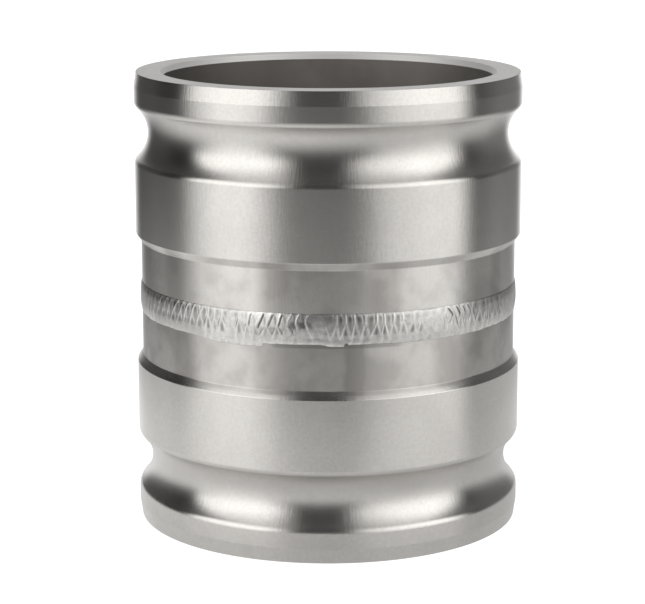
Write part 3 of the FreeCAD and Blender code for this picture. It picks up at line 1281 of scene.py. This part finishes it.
    def hollows(self, lattice: Lattice) -> np.ndarray:
        """Dark hollows in the cells of the lattice.

        A cell is where both family numbers lie between whole numbers, and a hollow is the product of a round
        hump in each, narrowed to a lens that stands upright in the cell. Below a knot the whole parts differ
        by one, and the hollow is deeper there than between the knots. Each cell draws its own depth once.
        The hollows end above the lowest part of the bead.

        Args:
            lattice: The two families.

        Returns:
            Depths from 0 to 1.
        """
        left_cell, right_cell = np.floor(lattice.left).astype(int), np.floor(lattice.right).astype(int)
        left_part, right_part = lattice.left - left_cell, lattice.right - right_cell
        narrow = smooth(np.abs(left_part + right_part - 1), *self.lens)
        product = 16 * left_part * (1 - left_part) * right_part * (1 - right_part)
        hump = product ** self.hollow_power * narrow
        draws = np.random.default_rng(self.hollow_seed).uniform(0, 1, (2, self.ripples))
        below_knot = (left_cell - right_cell) % 2
        draw = draws[below_knot, left_cell % self.ripples]
        depth = self.shallowest + (1 - self.shallowest) * draw
        band = smooth(lattice.share, *self.hollow_foot) * smooth(lattice.share, *self.hollow_top)
        return hump * depth * np.where(below_knot == 1, self.lower_hollow, self.upper_hollow) * band

    def lattice(self, turn: np.ndarray, share: np.ndarray) -> Lattice:
        """Lay out the two families.

        The ripple number grows with the turn and wavers a little. The lean of the ridges grows evenly below
        the knot, up to half a ripple at the foot, where neighbours cross. Above the knot it is a power of
        the distance. A left ridge is where the number plus the lean is whole, and a right one where the
        number less the lean is.

        Args:
            turn: Angles about the axis.
            share: Places across the bead.

        Returns:
            The two families.
        """
        number = turn * self.ripples / TURN + self.drift.at(turn) + self.shiver.at(turn)
        knot = self.knot - self.petal_drop * self.petals.at(turn) + self.knot_waver.at(turn)
        foot = self.foot + self.foot_waver.at(turn)
        habits = (self.petals, self.crescents, self.sweeps, self.slashes)
        spread = self.open_spread + sum(habit.spread * habit.at(turn) for habit in habits)
        power = 1 + sum(habit.bow * habit.at(turn) for habit in habits)
        below = np.clip(knot - share, 0, None) / (knot - foot)
        above = np.clip(share - knot, 0, None) / (1 - knot)
        lean = 0.5 * below + spread * above ** power
        skew = (self.slow_skew.at(turn) + self.quick_skew.at(turn)) * (share - knot)
        left, right = number + lean + skew, number - lean + skew
        upper = smooth(share - knot, *self.knot_edge)
        return Lattice(turn, share, number, left, right, upper, smooth(share - foot, *self.skirt_edge),
                       self.uneven(left, upper, self.left_seeds[0]),
                       self.uneven(right, upper, self.right_seeds[0]))

    def bright(self, lattice: Lattice) -> np.ndarray:
        """Ridges of both families; the left ones fade in crescents, sweeps and petals, the right in slashes.

        Args:
            lattice: The two families.

        Returns:
            Heights between 0 and 1.
        """
        turn = lattice.turn
        crescents, slashes = self.crescents.at(turn), self.slashes.at(turn)
        swept = lattice.upper * (self.sweeps.at(turn) + self.petals.at(turn))
        left = 1 - np.maximum(crescents, self.arm_fade * swept)
        right = (1 - self.arm_fade * lattice.upper * slashes) * (
            1 - crescents * tone(lattice.share, *self.crescent_fade))
        ridges = np.maximum(self.ridge(lattice.left) * lattice.left_strength * left,
                            self.ridge(-lattice.right) * lattice.right_strength * right)
        level = self.plain_ridge + self.bold_ridge * np.maximum(self.bold.at(turn), crescents)
        return ridges * level * (1 - self.slashed_ridge * slashes)

    def dark(self, lattice: Lattice) -> np.ndarray:
        """Dark strokes, cell hollows and crescent cups with painted dark reflection, whichever is deepest.

        Args:
            lattice: The two families.

        Returns:
            Depths between 0 and 1.
        """
        turn, share, upper = lattice.turn, lattice.share, lattice.upper
        petals, crescents, slashes = self.petals.at(turn), self.crescents.at(turn), self.slashes.at(turn)
        bold = self.bold.at(turn)
        plain = self.plain_stroke - self.bold_stroke * bold
        left_dark = plain * (1 - upper) + upper * (self.upper_stroke * plain + self.slash_stroke * slashes)
        right_dark = plain * (1 - upper) + upper * (self.upper_stroke * plain + self.petal_stroke * petals)
        top = smooth(share, *self.slash_foot) * smooth(share, *self.slash_top)
        bottom = smooth(share, *self.petal_foot) * smooth(share, *self.petal_top)
        left_full, right_full = slashes * top + self.petal_run * petals * bottom, petals * top
        left = self.strokes(lattice.left, share, left_full, self.left_seeds[1])
        right = self.strokes(-lattice.right, share, right_full, self.right_seeds[1])
        strokes = np.maximum(left * lattice.left_strength * left_dark,
                             right * lattice.right_strength * right_dark)
        cells = (self.hollows(lattice) * (self.plain_cell + self.bold_cell * bold) * (1 - crescents)
                 * (1 - self.slash_cell * slashes))
        cells = cells * (1 - self.petal_cell * petals * upper)
        beside = np.abs(lattice.right - np.floor(lattice.right) - 0.5)
        # Cups: dents in the shape, and a painted dark reflection in the colour.
        cups = (self.cup_depth * crescents * smooth(beside, *self.cup_width)
                * smooth(np.abs(share - self.cup_share), *self.cup_height))
        return np.clip(np.maximum(np.maximum(cells, strokes) * lattice.skirt, cups), 0, 1)

    def weave(self, turn: np.ndarray, share: np.ndarray) -> dict[str, np.ndarray]:
        """Heights and chart of the weave.

        The scales climb slowly over each ripple and fall at its end, along a line bowed with the share.

        Args:
            turn: Angles about the axis.
            share: Places across the bead.

        Returns:
            The ridges, scales and hollows, each between 0 and 1, and the numbers of both families.
        """
        lattice = self.lattice(turn, share)
        washed = 1 - self.smear * self.smears.at(turn)
        along = lattice.number + self.scale_bow * share ** 2
        phase = along - np.floor(along)
        scales = smooth(phase, 0, self.scale_top) * smooth(phase, 1, self.scale_top)
        return {
            "ridges": self.bright(lattice) * washed * lattice.skirt,
            "scales": scales * (self.scale_least + self.scale_gain * washed),
            "hollows": self.dark(lattice) * washed,
            "chart": np.stack([lattice.left, lattice.right], axis=-1),
        }

    def toes(self, turn: np.ndarray) -> tuple[np.ndarray, np.ndarray]:
        """Distances of both toes from the middle of the bead, which waver but stay outside the V.

        Args:
            turn: Angles about the axis.

        Returns:
            The lower and the upper distance.
        """
        number = turn * self.ripples / TURN
        least = JOINT.half_weld + self.overlap
        phase = number / self.ripple_steps - np.floor(number / self.ripple_steps)
        rough = phase * self.ripple_step + self.ragged.size + self.ragged.at(turn)
        hang = self.sliver.droop(turn) * self.sliver_hang + self.sag.droop(turn) * self.sag_hang
        lower = least + self.lower_waver.size + self.lower_waver.at(turn) + hang
        lower = lower + rough * (1 - self.lip.inside(turn))
        scallops = np.abs(np.sin(number * math.pi)) * self.scallop
        return lower, least + self.upper_waver.size + self.upper_waver.at(turn) + scallops

    def shading(self, turn: np.ndarray, share: np.ndarray) -> tuple[np.ndarray, np.ndarray]:
        """Painted light and shade that belong to no single ridge, which go into the colour alone.

        The petal tops get a painted highlight and the skirt under the sweeps is darker. Painted shade lies
        along the upper toe, faint painted shade below it, and a painted shadow in the notch at the end of
        the sliver.

        Args:
            turn: Angles about the axis.
            share: Places across the bead.

        Returns:
            What is added to the relief and to the depth.
        """
        petals, sweeps, slashes = self.petals.at(turn), self.sweeps.at(turn), self.slashes.at(turn)
        # Painted highlight on the petal tops, and a darker skirt under the sweeps.
        relief = petals * tone(share, *self.petal_light) - sweeps * tone(share, *self.sweep_dark)
        # Painted shade along the upper toe and faintly below it, and a painted shadow in the notch.
        line = tone(share, *self.toe_shade_line) * (self.line_level + self.edge_waver.at(turn))
        shade = tone(share, *self.top_shade) * (1 - np.clip(petals + slashes, 0, 1))
        notch = self.sliver.notch(turn) * smooth(share, *self.notch_share)
        return relief, line + shade + notch

    def surface(self) -> Grid:
        """Whole skin of the bead.

        The cap's radius is the tube's plus its toe and a crown of one minus a power of the share across,
        plus the ridges and scales, which fade at the toes. Below the toes the skin follows the V down to the
        bore and closes there. The rows crowd together towards the toes, as a sine does.

        Returns:
            The skin, with weave height and depth plus painted light and shade as values, its families as a
            chart.
        """
        columns = self.ripples * self.columns_per_ripple
        turn = (np.arange(columns) * TURN / columns)[None, :]
        level = np.ones_like(turn)
        share = np.sin(np.linspace(-1, 1, self.rows) * self.crowding)[:, None] / math.sin(self.crowding)
        weave = self.weave(turn, share)
        lower, upper = self.toes(turn)
        crown = (1 - np.abs(share) ** self.crown_power) * (1 + self.crown_waver.at(turn))
        lip = self.lip_height * self.lip.inside(turn) * smooth(share, *self.lip_rise)
        lip = lip * (1 - tone(share, *self.lip_fall))
        relief = (self.ridge_height * weave["ridges"] + self.scale_height * weave["scales"]
                  - self.hollow_depth * weave["hollows"]) * (1 - np.abs(share) ** self.fade_power)
        cap = JOINT.tube_radius + (self.toe_height + lip + self.cap_height * crown + relief)
        sunk, root, bore = JOINT.tube_radius - self.toe_sink, JOINT.root_radius, JOINT.bore_radius
        gap = JOINT.half_gap
        under = [(sunk, upper), (root, gap), (bore, gap), (bore, -gap), (root, -gap), (sunk, -lower)]
        radius = np.concatenate([cap] + [value * level for value, _ in under])
        height = np.concatenate([np.where(share < 0, share * lower, share * upper)]
                                + [value * level for _, value in under])
        # The colour values alone carry this painted light and shade; the shape does not.
        relief_shade, depth_shade = self.shading(turn, share)
        ridges, scales = self.relief_shares
        values = {
            "relief": ridges * weave["ridges"] + scales * weave["scales"] + relief_shade,
            "depth": weave["hollows"] + depth_shade,
        }
        values = {name: np.concatenate([value] + [0 * level] * len(under)) for name, value in values.items()}
        points = np.stack([radius * np.cos(turn), radius * np.sin(turn), height + JOINT.height], axis=-1)
        chart = weave["chart"]
        chart = np.concatenate([chart] + [chart[-1:]] * 3 + [chart[:1]] * 3)
        return Grid(points, values, chart=chart, chart_turn=self.ripples)

    def build(self, material: bpy.types.Material) -> bpy.types.Object:
        """Build and dress the bead.

        Args:
            material: The weld finish.

        Returns:
            The finished piece.
        """
        piece = self.surface().to_object("weld")
        dress(piece, (material,), "weld_bead")
        return piece


# The studio.


@dataclass
class Studio:
    """Pale floor, soft light boxes at both sides of the camera, and a white wall behind.

    Bearings and rises of the lights are in degrees, and places on the table in metres.

    Attributes:
        floor_radius: Reach of the floor that the camera sees.
        floor_grey, floor_glow: Its grey, and its own light, which keeps it even.
        table_radius, table_fade: Reach of the bright table that the metal reflects, and half the width over
            which it fades.
        table_depth, table_light: How far it lies below the floor, and its light.
        table_tilt: How its light grows towards +X, per metre, as far as table_level.
        ring_inner, ring_outer: How much brighter a ring on the table is, and what it loses further out.
        ahead: How much dimmer the table is far before and far behind.
        behind_x, behind: Edge and tone of a dimmer patch behind on the left.
        foot_out, foot: Edge and tone of a dimmer patch in front of the part's foot.
        left_light, right_light, wall_light, over_light: Strengths of both boxes, of the white wall behind
            and of the light over the back.
        low, low_dim: Rises under which the boxes spread out, and how much they dim there.
        low_left, low_right: How far each box's inner edge shifts there.
        foot_rise, top_rise: Lower and upper edges of both boxes.
        left_outer, left_outer_low, left_inner: Side edges of the left box.
        right_outer, right_inner, right_core: Side edges of the right box, and of its brighter core.
        core_share: Share of the right box's light that is in its core.
        right_lean: Rises over which the right box's outer edge comes in, by the degrees in right_shift.
        left_high, right_high: How much a box dims towards its top.
        wall_side, wall_top: Edges of the white wall behind.
        over_foot, over_side, over_slope, over_level: Edges of the light over the back, and its lean.
        faint: Light of the dark room.
        faint_ahead, faint_left, faint_over, faint_right: What is added ahead, at the left, over the part and
            at the right.
        faint_low, faint_right_low: What is added low down, and how much more the right gets there.
        lens, sensor, shift: Focal length, sensor width and shift of the camera.
        clip: Nearest and farthest distance that it sees.
        camera_place, camera_target: Where it stands and looks, in millimetres.
        disc_points: Number of corners of the floor and the table.
    """

    floor_radius: float = 6.0
    floor_grey: float = 0.30
    floor_glow: float = 0.92
    table_radius: float = 0.28
    table_fade: float = 0.19
    table_depth: float = 0.2 * MM
    table_light: float = 0.76
    table_tilt: float = -2.0
    table_level: float = 0.06
    ring_inner: Tone = (0.065, 0.10, 0.33)
    ring_outer: Tone = (0.11, 0.18, 0.35)
    ahead: Tone = (0.09, 0.17, 0.2)
    behind_x: Edge = (-0.06, -0.12)
    behind: Tone = (0.02, 0.08, 0.14)
    foot_out: Edge = (0.078, 0.055)
    foot: Tone = (-0.02, -0.05, 0.13)
    left_light: float = 1.95
    right_light: float = 1.92
    wall_light: float = 1.05
    over_light: float = 1.40
    low: Edge = (13, -6)
    low_dim: float = 0.32
    low_left: float = 0.17
    low_right: float = 0.21
    foot_rise: Edge = (-50, -30)
    top_rise: Edge = (82, 72)
    left_outer: Edge = (-97.5, -84.5)
    left_outer_low: Edge = (-100.5, -63)
    left_inner: Edge = (-0.26, -0.65)
    left_high: Tone = (28, 56, 0.50)
    right_outer: Edge = (100, 80)
    right_lean: Edge = (22, 2)
    right_shift: float = 2.2
    right_inner: Edge = (0.10, 0.46)
    right_core: Edge = (0.34, 0.84)
    core_share: float = 0.36
    right_high: Tone = (36, 60, 0.50)
    wall_side: Edge = (149, 172)
    wall_top: Edge = (50, 25)
    over_foot: Edge = (42, 51)
    over_side: Edge = (92, 108)
    over_slope: float = 0.28
    over_level: float = 150.0
    faint: float = 0.015
    faint_ahead: Tone = (90, 50, 0.04)
    faint_left: Tone = (-108, -128, 0.05)
    faint_over: Tone = (45, 60, 0.03)
    faint_right: Tone = (86, 126, 0.135)
    faint_low: float = 0.02
    faint_right_low: float = 0.5
    lens: float = 124.96
    sensor: float = 36.0
    shift: tuple[float, float] = (-0.0088, 0.0008)
    clip: tuple[float, float] = (0.05, 20.0)
    camera_place: tuple[float, float, float] = (0, -526.9, 161.16)
    camera_target: tuple[float, float, float] = (0, 0, 50.65)
    disc_points: int = 96

    def disc(self, name: str, radius: float, height: float) -> bpy.types.Object:
        """Flat round sheet that faces up.

        Its corners lie at the radius, at equal turns about the Z axis.

        Args:
            name: Name of the object.
            radius: Outer radius.
            height: Height of the sheet.

        Returns:
            The sheet.
        """
        turn = np.arange(self.disc_points) * TURN / self.disc_points
        ring = np.stack([radius * np.cos(turn), radius * np.sin(turn), np.full_like(turn, height)], axis=-1)
        mesh = bpy.data.meshes.new(name)
        mesh.from_pydata(ring.tolist(), [], [list(range(len(ring)))])
        sheet = bpy.data.objects.new(name, mesh)
        bpy.context.scene.collection.objects.link(sheet)
        return sheet

    def floor(self) -> None:
        """Pale floor that the camera sees: mostly even light, with a faint soft shadow under the part."""
        sheet = self.disc("floor", self.floor_radius, 0.0)
        sheet.visible_glossy = False
        sheet.visible_shadow = False
        material, nodes = new_material("pale_floor")
        matt = nodes.add("ShaderNodeBsdfDiffuse", inputs={"Color": rgb(*[self.floor_grey] * 3)})
        glow = nodes.glow("ShaderNodeEmission", self.floor_glow)
        both = nodes.add("ShaderNodeAddShader", inputs={0: nodes.term(matt), 1: glow})
        nodes.add("ShaderNodeOutputMaterial", inputs={0: nodes.term(both)})
        sheet.data.materials.append(material)

    def table(self) -> None:
        """Bright table close round the part, which only its reflections show, fading towards its edge."""
        sheet = self.disc("table", self.table_radius + self.table_fade, -self.table_depth)
        sheet.visible_camera = False
        sheet.visible_diffuse = False
        material, nodes = new_material("bright_table")
        x, y, _ = nodes.parts(nodes.place())
        distance = nodes.radius(x, y)
        inner = self.table_radius - self.table_fade
        there = nodes.step(distance, self.table_radius + self.table_fade, inner)
        ring = nodes.tone(distance, *self.ring_inner) * (1.0 - nodes.tone(distance, *self.ring_outer))
        level = nodes.math("MAXIMUM", nodes.math("MINIMUM", x, self.table_level), -self.table_level)
        ahead = nodes.tone(nodes.math("ABSOLUTE", y), *self.ahead)
        behind = nodes.step(x, *self.behind_x) * nodes.tone(y, *self.behind)
        foot = nodes.step(distance, *self.foot_out) * nodes.tone(y, *self.foot)
        strength = ((self.table_light + level * self.table_tilt) * (1.0 + ring)
                    * (1.0 - ahead) * (1.0 - behind) * (1.0 - foot))
        glow = nodes.glow("ShaderNodeEmission", strength)
        clear = nodes.term(nodes.add("ShaderNodeBsdfTransparent"))
        both = nodes.add("ShaderNodeMixShader", inputs={0: there, 1: clear, 2: glow})
        nodes.add("ShaderNodeOutputMaterial", inputs={0: nodes.term(both)})
        sheet.data.materials.append(material)

    def surroundings(self) -> None:
        """Light boxes and wall, as light from each direction round the part.

        The bearing is the angle from the camera's side towards +X, and the rise the angle over the horizon.
        A box is a product of smooth steps in both. The inner edges follow a number that grows with the sine
        of the bearing, x over the root of the distance from the axis.
        """
        world = bpy.data.worlds.new("studio")
        world.use_nodes = True
        bpy.context.scene.world = world
        nodes = Nodes(world.node_tree)
        x, y, z = nodes.parts(nodes.place("Generated"))
        bearing = nodes.bearing(x, y)
        rise = nodes.math("ARCSINE", z) * math.degrees(1)
        sideways = x / nodes.math("POWER", x * x + y * y, 0.25)
        away = nodes.math("ABSOLUTE", bearing)
        low = nodes.step(rise, *self.low)
        tall = (nodes.step(rise, *self.foot_rise) * nodes.step(rise, *self.top_rise)
                * (1.0 - low * self.low_dim))
        left_edge = (nodes.step(bearing, *self.left_outer) * (1.0 - low)
                     + nodes.step(bearing, *self.left_outer_low) * low)
        left = (left_edge * nodes.step(sideways + low * self.low_left, *self.left_inner) * tall
                * (1.0 - nodes.tone(rise, *self.left_high)))
        right_edge = bearing + nodes.step(rise, *self.right_lean) * self.right_shift
        inner = sideways - low * self.low_right
        core = (nodes.step(inner, *self.right_inner) * (1 - self.core_share)
                + nodes.step(inner, *self.right_core) * self.core_share)
        right = (nodes.step(right_edge, *self.right_outer) * core * tall
                 * (1.0 - nodes.tone(rise, *self.right_high)))
        wall = nodes.step(away, *self.wall_side) * nodes.step(rise, *self.wall_top)
        over_edge = rise + (away - self.over_level) * self.over_slope
        over = nodes.step(over_edge, *self.over_foot) * nodes.step(away, *self.over_side)
        dark = (self.faint + nodes.tone(away, *self.faint_ahead) + nodes.tone(bearing, *self.faint_left)
                + nodes.tone(rise, *self.faint_over) + low * self.faint_low
                + nodes.tone(bearing, *self.faint_right) * (1.0 + low * self.faint_right_low))
        strengths = (self.left_light, self.right_light, self.wall_light, self.over_light)
        light = nodes.weighted((left, right, wall, over), strengths) + dark
        seen = nodes.term(nodes.add("ShaderNodeLightPath"), "Is Camera Ray")
        glow = nodes.glow("ShaderNodeBackground", light + seen * (1.0 - light))
        nodes.add("ShaderNodeOutputWorld", inputs={0: glow})

    def camera(self) -> None:
        """Long lens at the photograph's viewing angle, a little above the part."""
        data = bpy.data.cameras.new("camera")
        data.lens, data.sensor_width = self.lens, self.sensor
        data.shift_x, data.shift_y = self.shift
        data.clip_start, data.clip_end = self.clip
        camera = bpy.data.objects.new("camera", data)
        place, target = Vector(self.camera_place) * MM, Vector(self.camera_target) * MM
        camera.location = place
        camera.rotation_mode = "QUATERNION"
        camera.rotation_quaternion = (target - place).to_track_quat("-Z", "Y")
        bpy.context.scene.collection.objects.link(camera)
        bpy.context.scene.camera = camera

    def build(self) -> None:
        """Set up floor, table, surroundings, camera and view."""
        self.floor()
        self.table()
        self.surroundings()
        self.camera()
        bpy.context.scene.view_settings.view_transform = "Standard"
        log.info("studio: floor, table, light boxes and camera")


def main() -> None:
    """Build the part and the studio."""
    logging.basicConfig(level=logging.INFO, format="%(message)s")
    finishes = (TurnedSteel().material(), FacedSteel().material(), DrawnBore().material())
    MaleEnd("lower_end", "lower_adapter", WayUp.FACE_DOWN, 0.0).build(finishes)
    MaleEnd("upper_end", "upper_adapter", WayUp.FACE_UP, HEIGHT).build(finishes)
    WeldBead().build(WeldMetal().material())
    Studio().build()


if __name__ == "__main__":
    main()
